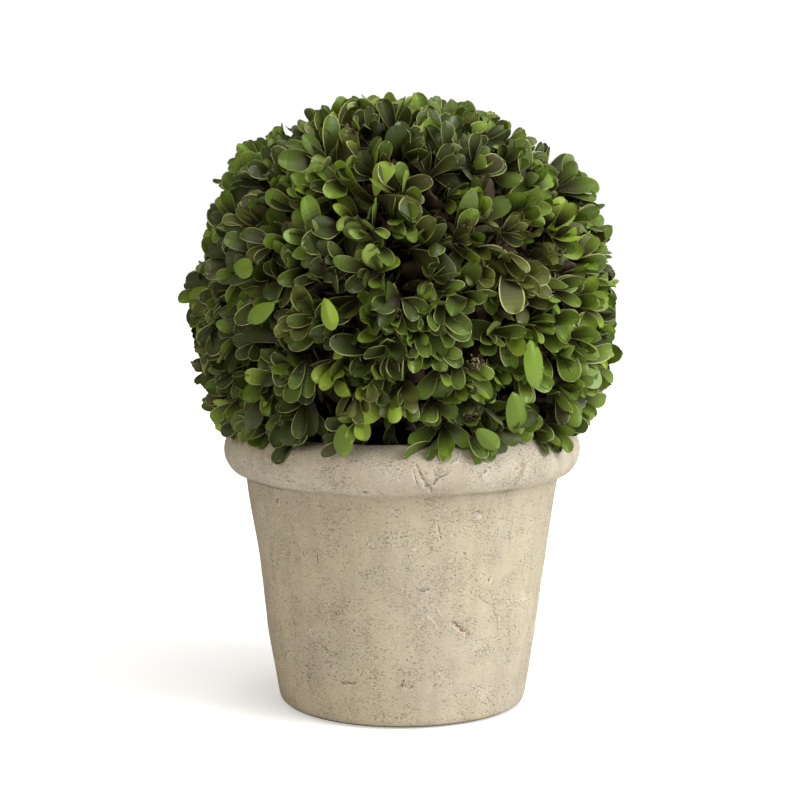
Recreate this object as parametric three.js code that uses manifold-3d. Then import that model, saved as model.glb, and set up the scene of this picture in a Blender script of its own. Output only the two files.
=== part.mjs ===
// A box shrub clipped to a ball, growing from a short hidden stem in a round stone pot
// with a rolled rim. Millimetres, +Z up. The origin is the middle of the pot's underside.

import * as THREE from 'three';
import { mergeVertices } from 'three/addons/utils/BufferGeometryUtils.js';
import Module from 'manifold-3d';

// Clearance kept between neighbouring solids.
const GAP = 0.4;

// Pot: a gently flaring wall with a thick rolled bead for a rim.
const POT_SEGMENTS = 56;
const FOOT_CORNER = 5.2;
const WALL_THICKNESS = 9;
const FLOOR_THICKNESS = 11;
const NECK_HEIGHT = 115.9;
const BEAD_HEIGHT = 129;
const BEAD_RADIUS = 89.1;
const BEAD_REACH = 11.6;
const BEAD_DROP = 13.2;
const BEAD_RISE = 11;
const LIP_REACH = 7;

// The wall's outer skin, slightly bellied above the foot: [height, radius].
const WALL_RINGS = [
  [0, 61.7],
  [20, 64.9],
  [36, 67.5],
  [58, 69.7],
  [80, 72.7],
  [100, 75.8],
  [130, 80.5],
];

// Potting fill: heaped a little around the stem.
const FILL_SEGMENTS = 48;
const FILL_EDGE_HEIGHT = 124;
const FILL_HEAP = 5;
const FILL_FLAT_RADIUS = 16;

// Stem: short, slightly bowed, tapering from a flared foot to a blunt tip in the crown.
const STEM_SEGMENTS = 16;
const STEM_TOP = 196;
const STEM_FOOT_RADIUS = 8.5;
const STEM_TIP_RADIUS = 4.6;
const STEM_FLARE = 3.2;
const STEM_FLARE_HEIGHT = 9;
const STEM_BOW = 2.5;
const STEM_STEPS = 10;

// Crown: a clipped ball, a little squarer in profile than a true sphere, and full at the rim.
const CROWN_CENTRE = 198.6;
const CROWN_RADIUS = 106.8;
const CROWN_DETAIL = 13;
const UPPER_POWER = 2.15;
const LOWER_POWER = 2.45;
const SKIRT_HEIGHT = 131;

// Swellings left by the shears: [height in mm, waves per radian in x, y and z, phase].
const SWELLINGS = [
  [1.3, 2.1, -1.4, 1.7, 0.6],
  [1.1, -1.9, 2.8, 1.1, 3.4],
  [0.9, 3.9, 2.6, -3.3, 4.1],
  [0.8, -3.1, 4.7, 3.6, 1.3],
  [0.7, 6.3, -5.2, 4.4, 3.0],
  [0.6, 5.1, 6.6, -5.9, 5.2],
];

// Places that stand proud or were cut back: [bearing, elevation in degrees, height in mm, width
// in degrees].
const PROUD_PLACES = [
  [182, 5, 5.2, 12],
  [-4, 7, 2.8, 9],
  [6, -25, -3.4, 15],
  [184, -20, -4.2, 17],
  [180, 40, 2.6, 11],
  [2, 38, 2.0, 10],
  [4, 63, -4.0, 15],
  [95, 12, 2.2, 10],
  [60, -16, 2.0, 10],
  [128, -20, 2.2, 9],
  [140, 48, 1.8, 10],
  [28, 42, 1.8, 10],
  [-140, 46, 1.6, 10],
];

const POT_STONE = { color: 0xbcb19a, roughness: 0.92, metalness: 0 };
const POTTING_FILL = { color: 0x2c2219, roughness: 1, metalness: 0 };
const BARK = { color: 0x6b5a45, roughness: 0.9, metalness: 0 };
const FOLIAGE = { color: 0x3d4a22, roughness: 0.6, metalness: 0 };

const wasm = await Module();
wasm.setup();

function wallRadius(z) {
  const above = WALL_RINGS.findIndex(([height], index) => index > 0 && height >= z);
  const [high, wide] = WALL_RINGS[above];
  const [low, narrow] = WALL_RINGS[above - 1];
  return narrow + ((wide - narrow) * (z - low)) / (high - low);
}

function innerRadius(z) {
  return wallRadius(z) - WALL_THICKNESS;
}

// Points on an elliptical arc about (r, z), with angles measured from the outward direction.
function arc(r, z, reach, rise, from, to, steps) {
  const points = [];
  for (let i = 0; i <= steps; i += 1) {
    const angle = from + ((to - from) * i) / steps;
    points.push(new THREE.Vector2(r + reach * Math.cos(angle), z + rise * Math.sin(angle)));
  }
  return points;
}

// The rolled rim from under the bead, over its top and down inside the lip, grown by `grow`.
function rimProfile(grow) {
  const centre = BEAD_RADIUS - BEAD_REACH;
  const neckReach = wallRadius(NECK_HEIGHT) - centre;
  const start = -Math.acos(neckReach / BEAD_REACH);
  const right = Math.PI / 2;
  const under = arc(centre, BEAD_HEIGHT, BEAD_REACH + grow, BEAD_DROP + grow, start, 0, 6);
  const over = arc(centre, BEAD_HEIGHT, BEAD_REACH + grow, BEAD_RISE + grow, 0, right, 5);
  const lip = arc(centre, BEAD_HEIGHT, LIP_REACH + grow, BEAD_RISE + grow, right, 2 * right, 4);
  return [...under, ...over.slice(1), ...lip.slice(1)];
}

function smoothProfile(from, to, steps, radiusAt) {
  const points = [];
  for (let i = 0; i <= steps; i += 1) {
    const z = from + ((to - from) * i) / steps;
    points.push(new THREE.Vector2(radiusAt(z), z));
  }
  return points;
}

// A lathe turned about Z, from a profile whose points run anticlockwise in (radius, height).
function turned(profile, segments) {
  const geometry = new THREE.LatheGeometry(profile, segments);
  geometry.rotateX(Math.PI / 2);
  return geometry;
}

function solidFrom(geometry) {
  const plain = geometry.clone();
  plain.deleteAttribute('normal');
  plain.deleteAttribute('uv');
  const merged = mergeVertices(plain);
  const mesh = new wasm.Mesh({
    numProp: 3,
    vertProperties: new Float32Array(merged.attributes.position.array),
    triVerts: new Uint32Array(merged.index.array),
  });
  return new wasm.Manifold(mesh);
}

function geometryFrom(solid) {
  const mesh = solid.getMesh();
  const geometry = new THREE.BufferGeometry();
  geometry.setAttribute('position', new THREE.BufferAttribute(mesh.vertProperties, 3));
  geometry.setIndex(new THREE.BufferAttribute(mesh.triVerts, 1));
  geometry.computeVertexNormals();
  return geometry;
}

function named(name, geometry, finish) {
  const mesh = new THREE.Mesh(geometry, new THREE.MeshStandardMaterial(finish));
  mesh.name = name;
  return mesh;
}

// The hollow pot: flat underside, rounded foot corner, flaring wall, bead, lip and inner wall.
function potGeometry() {
  const corner = arc(
    wallRadius(FOOT_CORNER) - FOOT_CORNER,
    FOOT_CORNER,
    FOOT_CORNER,
    FOOT_CORNER,
    -Math.PI / 2,
    0,
    4,
  );
  const lipFoot = BEAD_HEIGHT - 2;
  const profile = [
    new THREE.Vector2(0, 0),
    ...corner,
    ...WALL_RINGS.slice(1, -1).map(([height, radius]) => new THREE.Vector2(radius, height)),
    ...rimProfile(0),
    ...smoothProfile(lipFoot, FLOOR_THICKNESS, 3, innerRadius),
    new THREE.Vector2(0, FLOOR_THICKNESS),
  ];
  return turned(profile, POT_SEGMENTS);
}

function fillHeight(radius) {
  const rim = innerRadius(FILL_EDGE_HEIGHT);
  const across = Math.max(radius - FILL_FLAT_RADIUS, 0) / (rim - FILL_FLAT_RADIUS);
  return FILL_EDGE_HEIGHT + FILL_HEAP * (1 - across * across);
}

// The heaped top of the fill from the wall in to the middle, raised by `lift`.
function fillTop(lift, edge) {
  const points = [];
  const steps = 4;
  for (let i = 0; i <= steps; i += 1) {
    const radius = edge + ((FILL_FLAT_RADIUS - edge) * i) / steps;
    points.push(new THREE.Vector2(radius, fillHeight(radius) + lift));
  }
  points.push(new THREE.Vector2(0, fillHeight(0) + lift));
  return points;
}

function fillGeometry() {
  const bottom = FLOOR_THICKNESS + GAP;
  const edge = innerRadius(FILL_EDGE_HEIGHT) - GAP;
  const side = smoothProfile(bottom, FILL_EDGE_HEIGHT, 3, (z) => innerRadius(z) - GAP);
  const profile = [new THREE.Vector2(0, bottom), ...side, ...fillTop(0, edge).slice(1)];
  return turned(profile, FILL_SEGMENTS);
}

// The stem from `foot` to `top`, grown sideways by `grow`; its axis bows gently toward +X.
function stemGeometry(foot, top, grow) {
  const base = fillHeight(0) + GAP;
  const profile = [new THREE.Vector2(0, foot)];
  for (let i = 0; i <= STEM_STEPS; i += 1) {
    const z = foot + ((top - foot) * i) / STEM_STEPS;
    const up = Math.max(z - base, 0) / (STEM_TOP - base);
    const taper = STEM_FOOT_RADIUS + (STEM_TIP_RADIUS - STEM_FOOT_RADIUS) * up;
    const flare = STEM_FLARE * Math.exp(-Math.max(z - base, 0) / STEM_FLARE_HEIGHT);
    profile.push(new THREE.Vector2(taper + flare + grow, z));
  }
  profile.push(new THREE.Vector2(0, top));
  const geometry = turned(profile, STEM_SEGMENTS);
  const position = geometry.attributes.position;
  for (let i = 0; i < position.count; i += 1) {
    const up = (position.getZ(i) - base) / (STEM_TOP - base);
    position.setX(i, position.getX(i) + STEM_BOW * Math.sin(Math.PI * up));
  }
  return geometry;
}

function swelling(direction) {
  return SWELLINGS.reduce(
    (sum, [height, x, y, z, phase]) =>
      sum + height * Math.sin(x * direction.x + y * direction.y + z * direction.z + phase),
    0,
  );
}

function proudness(direction) {
  return PROUD_PLACES.reduce((sum, [bearing, elevation, height, width]) => {
    const polar = THREE.MathUtils.degToRad(90 - elevation);
    const azimuth = THREE.MathUtils.degToRad(bearing);
    const middle = new THREE.Vector3(
      Math.sin(polar) * Math.cos(azimuth),
      Math.sin(polar) * Math.sin(azimuth),
      Math.cos(polar),
    );
    const away = direction.angleTo(middle) / THREE.MathUtils.degToRad(width);
    return sum + height * Math.exp(-away * away);
  }, 0);
}

// Distance from the crown's centre to its clipped surface in a direction.
function crownReach(direction) {
  const power = direction.z > 0 ? UPPER_POWER : LOWER_POWER;
  const level = Math.hypot(direction.x, direction.y);
  const square = level ** power + Math.abs(direction.z) ** power;
  return CROWN_RADIUS * square ** (-1 / power) + swelling(direction) + proudness(direction);
}

// Everything the crown has to clear: the air under its skirt, the rim and the fill in the mouth.
function clearanceUnderCrown() {
  const outside = CROWN_RADIUS * 2;
  const mouth = BEAD_RADIUS - BEAD_REACH - LIP_REACH - GAP;
  const rim = rimProfile(GAP).filter((point) => point.y > SKIRT_HEIGHT);
  const inside = fillTop(GAP, mouth);
  const profile = [
    new THREE.Vector2(0, 0),
    new THREE.Vector2(outside, 0),
    new THREE.Vector2(outside, SKIRT_HEIGHT),
    new THREE.Vector2(BEAD_RADIUS + GAP, SKIRT_HEIGHT),
    ...rim,
    ...inside,
  ];
  return turned(profile, POT_SEGMENTS);
}

function crownGeometry() {
  const ball = new THREE.IcosahedronGeometry(1, CROWN_DETAIL);
  ball.deleteAttribute('normal');
  ball.deleteAttribute('uv');
  const merged = mergeVertices(ball);
  const position = merged.attributes.position;
  const direction = new THREE.Vector3();
  for (let i = 0; i < position.count; i += 1) {
    direction.fromBufferAttribute(position, i).normalize();
    const reach = crownReach(direction);
    const { x, y, z } = direction;
    position.setXYZ(i, x * reach, y * reach, CROWN_CENTRE + z * reach);
  }
  const socket = stemGeometry(SKIRT_HEIGHT - 20, STEM_TOP + GAP, GAP);
  const clipped = solidFrom(merged)
    .subtract(solidFrom(clearanceUnderCrown()))
    .subtract(solidFrom(socket));
  return geometryFrom(clipped);
}

const plant = new THREE.Group();
plant.add(named('pot', potGeometry(), POT_STONE));
plant.add(named('potting_fill', fillGeometry(), POTTING_FILL));
plant.add(named('stem', stemGeometry(fillHeight(0) + GAP, STEM_TOP, 0), BARK));
plant.add(named('crown', crownGeometry(), FOLIAGE));

export default plant;
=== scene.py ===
"""A box shrub clipped to a ball, in a round weathered stone pot with a rolled rim.

The stem forks into boughs, branches and twigs by one seeded rule. Every twig ends in a sprig
of paired leaves near the clipped surface of the crown. All lengths are in metres.
"""
import math

import bpy
import numpy as np
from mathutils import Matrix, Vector, noise
from mathutils.bvhtree import BVHTree


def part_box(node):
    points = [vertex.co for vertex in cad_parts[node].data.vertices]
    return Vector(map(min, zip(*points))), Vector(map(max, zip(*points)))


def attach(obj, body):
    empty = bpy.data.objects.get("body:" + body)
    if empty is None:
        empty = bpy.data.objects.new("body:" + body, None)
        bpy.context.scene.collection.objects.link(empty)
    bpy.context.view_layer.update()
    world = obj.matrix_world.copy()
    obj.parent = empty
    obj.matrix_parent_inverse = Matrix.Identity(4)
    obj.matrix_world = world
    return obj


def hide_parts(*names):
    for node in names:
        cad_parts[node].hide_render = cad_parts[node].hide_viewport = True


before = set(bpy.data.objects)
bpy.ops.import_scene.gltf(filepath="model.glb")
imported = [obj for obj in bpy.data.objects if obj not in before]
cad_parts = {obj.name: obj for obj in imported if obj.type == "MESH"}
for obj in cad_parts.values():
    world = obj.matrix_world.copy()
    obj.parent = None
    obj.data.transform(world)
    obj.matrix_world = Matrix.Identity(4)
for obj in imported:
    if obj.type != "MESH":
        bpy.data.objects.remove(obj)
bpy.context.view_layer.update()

MM = 0.001
SEED = 22


def corners_of(node):
    return [np.array(corner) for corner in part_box(node)]


POT_HIGH = corners_of("pot")[1]
FILL_LOW, FILL_HIGH = corners_of("potting_fill")
STEM_LOW, STEM_HIGH = corners_of("stem")
CROWN_HIGH = corners_of("crown")[1]

RIM_TOP = POT_HIGH[2]
RIM_RADIUS = POT_HIGH[0]
BEAD_REACH = 11.6 * MM
BEAD_DROP = 13.2 * MM
BEAD_RISE = 11 * MM
LIP_REACH = 7 * MM
HEART_RISE = 2.6 * MM
BEAD_CENTRE = RIM_RADIUS - BEAD_REACH
BEAD_MIDDLE = RIM_TOP - BEAD_RISE
BEAD_FOOT = BEAD_MIDDLE - BEAD_DROP
# A distance from the middle that is outside every piece.
OUTSIDE = 0.3
HEART = np.array([0.0, 0.0, STEM_HIGH[2] + HEART_RISE])


# ---- Camera, lights and floor ----

CAMERA_DISTANCE = 0.995
CAMERA_HEIGHT = 0.267
CAMERA_PITCH = math.radians(6.6)
CAMERA_YAW = math.radians(0.06)
CAMERA_LENS = 90.0
SENSOR_WIDTH = 36.0
LIGHT_AIM = (0, 0, 0.16)
# Name, place, size in metres, watts and colour of each softbox.
SOFTBOXES = [
    ("key", (1.25, -0.68, 0.8), (0.7, 0.9), 18.0, (0.97, 0.99, 1.0)),
    ("fill", (-0.9, -1.4, 0.95), (0.7, 0.7), 5.7, (1.0, 0.91, 0.8)),
    ("overhead", (0.4, -0.3, 1.5), (1.2, 1.2), 14.5, (1.0, 0.985, 0.95)),
]
STUDIO_GLOW = (0.225, 0.206, 0.182, 1)
FLOOR_HALF = 4.0
# The paper glows towards white away from the pot: distances in metres, then the glow at each.
NEAR_PAPER = (0.05, 0.11, 0.42, 0.64)
FAR_PAPER = (0.2, 0.9, 0.0, 0.35)


def link(piece):
    bpy.context.scene.collection.objects.link(piece)
    return piece


def add_camera():
    data = bpy.data.cameras.new("camera")
    data.lens = CAMERA_LENS
    data.sensor_width = SENSOR_WIDTH
    camera = link(bpy.data.objects.new("camera", data))
    camera.location = (0, -CAMERA_DISTANCE, CAMERA_HEIGHT)
    camera.rotation_euler = (math.pi / 2 - CAMERA_PITCH, 0, CAMERA_YAW)
    bpy.context.scene.camera = camera


def add_softbox(name, place, size, watts, colour):
    data = bpy.data.lights.new(name, "AREA")
    data.shape = "RECTANGLE"
    data.size, data.size_y = size
    data.energy = watts
    data.color = colour
    light = link(bpy.data.objects.new(name, data))
    light.location = place
    toward = Vector(LIGHT_AIM) - Vector(place)
    light.rotation_euler = toward.to_track_quat("-Z", "Y").to_euler()


def add_world():
    """An even, slightly warm glow all round, which shows behind the object as plain white."""
    world = bpy.data.worlds.new("studio")
    world.use_nodes = True
    tree = world.node_tree
    seen = add_node(tree, "ShaderNodeLightPath").outputs["Is Camera Ray"]
    colour = mixed(tree, seen, STUDIO_GLOW, (1, 1, 1, 1))
    tree.links.new(colour, tree.nodes["Background"].inputs["Color"])
    bpy.context.scene.world = world


def add_floor():
    mesh = bpy.data.meshes.new("floor")
    signs = ((-1, -1), (1, -1), (1, 1), (-1, 1))
    corners = [(FLOOR_HALF * east, FLOOR_HALF * north, 0) for east, north in signs]
    mesh.from_pydata(corners, [], [(0, 1, 2, 3)])
    floor = link(bpy.data.objects.new("floor", mesh))
    paper = plain_material("studio_paper", (0.8, 0.8, 0.8, 1), 0.9, 0.1)
    tree = paper.node_tree
    away = add_node(tree, "ShaderNodeVectorMath", {0: object_place(tree)}, operation="LENGTH")
    away = away.outputs["Value"]
    seen = add_node(tree, "ShaderNodeLightPath").outputs["Is Camera Ray"]
    lift = plus(tree, ramped(tree, away, *NEAR_PAPER), ramped(tree, away, *FAR_PAPER))
    shader = tree.nodes["Principled BSDF"]
    shader.inputs["Emission Color"].default_value = (1, 1, 1, 1)
    tree.links.new(times(tree, seen, lift), shader.inputs["Emission Strength"])
    mesh.materials.append(paper)


def light_the_studio():
    for softbox in SOFTBOXES:
        add_softbox(*softbox)
    add_world()
    view = bpy.context.scene.view_settings
    view.view_transform = "Standard"
    view.look = "None"


# ---- Mesh helpers ----

LUMP_STEPS = (7.31, 3.17, 5.77)


def unit(vectors):
    vectors = np.asarray(vectors, dtype=float)
    return vectors / np.maximum(np.linalg.norm(vectors, axis=-1, keepdims=True), 1e-12)


def mesh_piece(name, points, faces, materials, slots=None):
    """One smooth mesh object. `faces` is a list of arrays of corners, one array per face size."""
    mesh = bpy.data.meshes.new(name)
    corners = np.concatenate([np.asarray(part).ravel() for part in faces]).astype(np.int32)
    sides = np.concatenate([np.full(len(part), np.shape(part)[1]) for part in faces])
    starts = np.concatenate([[0], np.cumsum(sides)[:-1]])
    mesh.vertices.add(len(points))
    mesh.vertices.foreach_set("co", np.asarray(points, dtype=np.float32).ravel())
    mesh.loops.add(len(corners))
    mesh.loops.foreach_set("vertex_index", corners)
    mesh.polygons.add(len(sides))
    mesh.polygons.foreach_set("loop_start", starts.astype(np.int32))
    mesh.polygons.foreach_set("loop_total", sides.astype(np.int32))
    if slots is not None:
        mesh.polygons.foreach_set("material_index", np.asarray(slots, dtype=np.int32))
    mesh.polygons.foreach_set("use_smooth", np.ones(len(sides), dtype=bool))
    for material in materials:
        mesh.materials.append(material)
    mesh.update(calc_edges=True)
    return link(bpy.data.objects.new(name, mesh))


def belongs(piece, slot, *replaced):
    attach(piece, "root")
    if replaced:
        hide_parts(*replaced)


def surface_tree(node):
    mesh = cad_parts[node].data
    points = [vertex.co.copy() for vertex in mesh.vertices]
    return BVHTree.FromPolygons(points, [tuple(face.vertices) for face in mesh.polygons])


def lumps(points, size, octaves, seed):
    """Fractal noise, about -1 to 1, at each point; `size` is that of its largest lumps."""
    shift = Vector([seed * step for step in LUMP_STEPS])
    return np.array([
        noise.fractal(Vector(point) / size + shift, 0.9, 2.1, octaves) for point in points
    ])


def ring_faces(rings, columns):
    """Quads between closed rings of `columns` points, outward for rising rings."""
    ring, column = np.meshgrid(np.arange(rings - 1), np.arange(columns), indexing="ij")
    after = (column + 1) % columns
    low, high = ring * columns, (ring + 1) * columns
    quads = np.stack([low + column, low + after, high + after, high + column], axis=-1)
    return quads.reshape(-1, 4)


def closed_faces(rings, columns):
    """Ring faces, and fans that close both ends round two hubs listed after the rings."""
    ring = np.arange(columns)
    after = (ring + 1) % columns
    first_hub, last = rings * columns, (rings - 1) * columns
    fans = np.concatenate([
        np.stack([after, ring, np.full(columns, first_hub)], axis=1),
        np.stack([last + ring, last + after, np.full(columns, first_hub + 1)], axis=1),
    ])
    return [ring_faces(rings, columns), fans]


# ---- Shader node helpers ----

PIT_WOBBLE = 1.1 * MM
GASH_STRAY = 7.5 * MM


def srgb(red, green, blue):
    """A colour given in ordinary 0 to 255 steps, as the linear values that shaders use."""
    steps = np.array([red, green, blue]) / 255
    linear = np.where(steps <= 0.04045, steps / 12.92, ((steps + 0.055) / 1.055) ** 2.4)
    return (*linear, 1.0)


def plain_material(name, colour, roughness, specular=0.5):
    material = bpy.data.materials.new(name)
    material.use_nodes = True
    shader = material.node_tree.nodes["Principled BSDF"]
    shader.inputs["Base Color"].default_value = colour
    shader.inputs["Roughness"].default_value = roughness
    shader.inputs["Specular IOR Level"].default_value = specular
    return material


def add_node(tree, kind, inputs=(), **settings):
    """A shader node. `inputs` maps socket names or numbers to values or to other sockets."""
    node = tree.nodes.new(kind)
    for name, value in settings.items():
        setattr(node, name, value)
    for name, value in dict(inputs).items():
        if isinstance(value, bpy.types.NodeSocket):
            tree.links.new(value, node.inputs[name])
        else:
            node.inputs[name].default_value = value
    return node


def maths(tree, operation, *values):
    return add_node(tree, "ShaderNodeMath", enumerate(values), operation=operation).outputs[0]


def times(tree, first, second):
    return maths(tree, "MULTIPLY", first, second)


def plus(tree, first, second):
    return maths(tree, "ADD", first, second)


def minus(tree, first, second):
    return maths(tree, "SUBTRACT", first, second)


def divided(tree, first, second):
    return maths(tree, "DIVIDE", first, second)


def mixed(tree, amount, first, second):
    """Two colours mixed by an amount from 0 to 1."""
    sockets = {0: amount, 6: first, 7: second}
    return add_node(tree, "ShaderNodeMix", sockets, data_type="RGBA").outputs[2]


def ramped(tree, value, low, high, to_low=0.0, to_high=1.0):
    """A value's smooth step: `to_low` up to `low`, and `to_high` from `high` on."""
    span = {"From Min": low, "From Max": high, "To Min": to_low, "To Max": to_high}
    inputs = {"Value": value, **span}
    node = add_node(tree, "ShaderNodeMapRange", inputs, interpolation_type="SMOOTHSTEP")
    return node.outputs["Result"]


def noise_node(tree, place, scale, **more):
    inputs = {"Vector": place, "Scale": scale, **more}
    return add_node(tree, "ShaderNodeTexNoise", inputs).outputs


def object_place(tree):
    return add_node(tree, "ShaderNodeTexCoord").outputs["Object"]


def stretched_place(tree, stretch):
    """The place on the piece, with its height multiplied by `stretch`."""
    squash = add_node(tree, "ShaderNodeCombineXYZ", {"X": 1.0, "Y": 1.0, "Z": stretch}).outputs[0]
    sockets = {0: object_place(tree), 1: squash}
    return add_node(tree, "ShaderNodeVectorMath", sockets, operation="MULTIPLY").outputs[0]


def shifted_place(tree, place, shift):
    return add_node(tree, "ShaderNodeVectorMath", {0: place, 1: shift}).outputs[0]


def new_group(name, inputs, outputs):
    """An empty shader node group with named number inputs and outputs."""
    tree = bpy.data.node_groups.new(name, "ShaderNodeTree")
    for label, value in inputs.items():
        socket = tree.interface.new_socket(label, in_out="INPUT", socket_type="NodeSocketFloat")
        socket.default_value = value
    for label in outputs:
        tree.interface.new_socket(label, in_out="OUTPUT", socket_type="NodeSocketFloat")
    return tree, tree.nodes.new("NodeGroupInput").outputs, tree.nodes.new("NodeGroupOutput").inputs


def place_group(tree, group, **values):
    """A group placed in a material: its outputs, with the named numbers set."""
    node = add_node(tree, "ShaderNodeGroup", node_tree=group)
    for name, value in values.items():
        node.inputs[name.replace("_", " ").capitalize()].default_value = value
    return node.outputs


def masks_from(tree, group, table):
    """The Mask of a group once for each row of a table of settings, by the row's name."""
    return {name: place_group(tree, group, **row)["Mask"] for name, row in table.items()}


def set_surface(tree, colour, height, distance):
    """Links a colour and a height map of a given depth to the material's shader."""
    shader = tree.nodes["Principled BSDF"]
    bump = add_node(tree, "ShaderNodeBump", {"Height": height, "Distance": distance})
    tree.links.new(colour, shader.inputs["Base Color"])
    tree.links.new(bump.outputs["Normal"], shader.inputs["Normal"])


def mottle_group():
    """Soft patches: Mask runs from 0 to 1 over cloudy areas of a given size."""
    inputs = {"Size": 0.02, "Stretch": 1.0, "Low": 0.4, "High": 0.6, "Detail": 4.0}
    tree, given, result = new_group("mottle", inputs, ["Mask"])
    spread = stretched_place(tree, given["Stretch"])
    scale = divided(tree, 1.0, given["Size"])
    cloud = noise_node(tree, spread, scale, Detail=given["Detail"])["Fac"]
    tree.links.new(ramped(tree, cloud, given["Low"], given["High"]), result["Mask"])
    return tree


def pitting_group():
    """Small scattered pits: Mask is 1 inside a pit, and only a share of the cells has one."""
    inputs = {"Size": 0.004, "Share": 0.4, "Breadth": 0.3}
    tree, given, result = new_group("pitting", inputs, ["Mask"])
    place = object_place(tree)
    scale = divided(tree, 1.0, given["Size"])
    wobble = noise_node(tree, place, 900.0)["Color"]
    sockets = {0: wobble, 1: (PIT_WOBBLE,) * 3, 2: place}
    bent = add_node(tree, "ShaderNodeVectorMath", sockets, operation="MULTIPLY_ADD").outputs[0]
    cells = add_node(tree, "ShaderNodeTexVoronoi", {"Vector": bent, "Scale": scale})
    lot = add_node(tree, "ShaderNodeSeparateColor", {"Color": cells.outputs["Color"]}).outputs
    chosen = maths(tree, "LESS_THAN", lot["Red"], given["Share"])
    breadth = times(tree, given["Breadth"], lot["Green"])
    inside = ramped(tree, cells.outputs["Distance"], times(tree, breadth, 0.55), breadth, 1.0, 0.0)
    tree.links.new(times(tree, inside, chosen), result["Mask"])
    return tree


# ---- Pot ----

POT_COLUMNS = 432
POT_STEP = 1.15 * MM
FOOT_ROUND = 5.2 * MM
FILL_GAP = 0.4 * MM
INNER_TAPER = 0.13
# Number of unlisted pits, and the least and most of their height, length and depth, in mm.
STRAY_PITS = 260
STRAY_HEIGHT, STRAY_LENGTH, STRAY_BITE = (3, 134), (1.6, 3.6), (0.15, 0.55)
SWELL_DEPTH, SWELL_SIZE = 0.42 * MM, 46 * MM
GRAIN_DEPTH, GRAIN_SIZE = 0.13 * MM, 9 * MM

# Scratches and nicks in the pot's face: bearing from the front in degrees, height in mm, turn in
# degrees from level, length and width in mm.
POT_MARKS = [
    (24.0, 50, -38, 14, 1.4), (5.4, 128.5, -62, 9, 1.3), (7.9, 121.8, -52, 9, 1.4),
    (4.0, 126.0, -72, 7, 0.9), (9.4, 123.2, 36, 9, 1.2), (12.6, 127.0, 33, 10, 1.0),
    (25.0, 128, 30, 5, 1.7), (28.6, 106, 0, 2.8, 2.2), (27.0, 106.5, 20, 6, 0.9),
    (13.5, 98, -75, 9, 1.0), (35.3, 73, 60, 3.8, 1.4), (1.7, 22, -8, 9, 1.1),
    (0.6, 24, 80, 5, 1.0), (-23.5, 22.5, 6, 9, 1.2), (-50.6, 109, 20, 2.8, 2.0),
    (-43, 131, 70, 5, 1.8), (-12, 118, 10, 6, 0.9), (-33, 84, 85, 6, 0.8), (8, 70, 5, 7, 0.7),
]
RUST_MARK = (24.8, 49, -38, 6, 1.3)
# Damage on the pot: bearing from the front in degrees, height, length and width in mm, turn in
# degrees from level, and depth in mm.
POT_SCARS = [
    (24.0, 50, 12, 2.0, -38, 0.8), (6.3, 125.7, 15, 2.0, -55, 0.6),
    (11.2, 125.5, 12, 2.0, 34, 0.5), (28.6, 106, 3.6, 3.2, 0, 1.2),
    (-23.5, 22.5, 9, 1.6, 6, 0.5), (1.7, 22, 9, 1.6, -8, 0.5), (-44, 131, 7, 2.2, 70, 0.9),
    (-63, 114, 6, 1.8, 80, 0.8), (118, 60, 10, 2.0, 30, 0.9), (150, 121, 8, 2.0, -25, 1.2),
    (-150, 30, 7, 2.2, -60, 0.8), (-112, 84, 6, 1.8, 15, 0.8), (-168, 126, 9, 1.6, 50, 1.1),
]


def eased(line, reach):
    """A line of points averaged over `reach` neighbours on either side."""
    window = np.hanning(2 * reach + 3)[1:-1]
    padded = np.pad(line, ((reach, reach), (0, 0)), mode="edge")
    return np.stack(
        [np.convolve(padded[:, axis], window / window.sum(), "valid") for axis in (0, 1)], axis=1
    )


def skin_points(tree, start, way, heights):
    """Radius and height of the pot's skin where level lines that leave `start` first meet it."""
    hits = [tree.ray_cast(Vector((start, 0, height)), Vector((way, 0, 0)))[0] for height in heights]
    return [(hit.x, height) for hit, height in zip(hits, heights)]


def pot_profile():
    """Smoothed radius and height along the pot's skin, from the foot over the rim to the fill."""
    tree = surface_tree("pot")
    rising = BEAD_MIDDLE + BEAD_RISE * np.sin(np.linspace(0.05, 0.98, 16) * math.pi / 2)
    outside = skin_points(tree, OUTSIDE, -1, np.concatenate([
        FOOT_ROUND * (1 - np.cos(np.linspace(0.08, 1, 10) * math.pi / 2)),
        np.arange(6 * MM, BEAD_FOOT - 2 * MM, MM),
        np.linspace(BEAD_FOOT - MM, BEAD_MIDDLE, 24),
        rising,
    ]))
    throat = np.linspace(BEAD_MIDDLE - 2 * MM, FILL_HIGH[2] - 12 * MM, 6)
    inside = skin_points(tree, 0, 1, np.concatenate([rising[::-1], throat]))
    foot = (outside[0][0] - 1.5 * MM, 0.0)
    line = np.array([foot, *outside, (BEAD_CENTRE, RIM_TOP), *inside])
    along = np.concatenate([[0], np.cumsum(np.linalg.norm(np.diff(line, axis=0), axis=1))])
    fine = np.arange(0, along[-1], 0.4 * MM)
    even = np.stack([np.interp(fine, along, line[:, axis]) for axis in (0, 1)], axis=1)
    smooth = eased(even, 3)
    radius, height = even.T
    wall = (radius > BEAD_CENTRE - 17 * MM) & (height > 9 * MM)
    wall &= (height < BEAD_FOOT - 7 * MM) & (fine < along[len(outside)])
    smooth[wall] = eased(even, 15)[wall]
    crisp = np.abs(height - BEAD_FOOT) < 0.9 * MM
    crisp[:2] = True
    smooth[crisp] = even[crisp]
    steps = np.arange(0, fine[-1], POT_STEP)
    return np.stack([np.interp(steps, fine, smooth[:, axis]) for axis in (0, 1)], axis=1)


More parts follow.
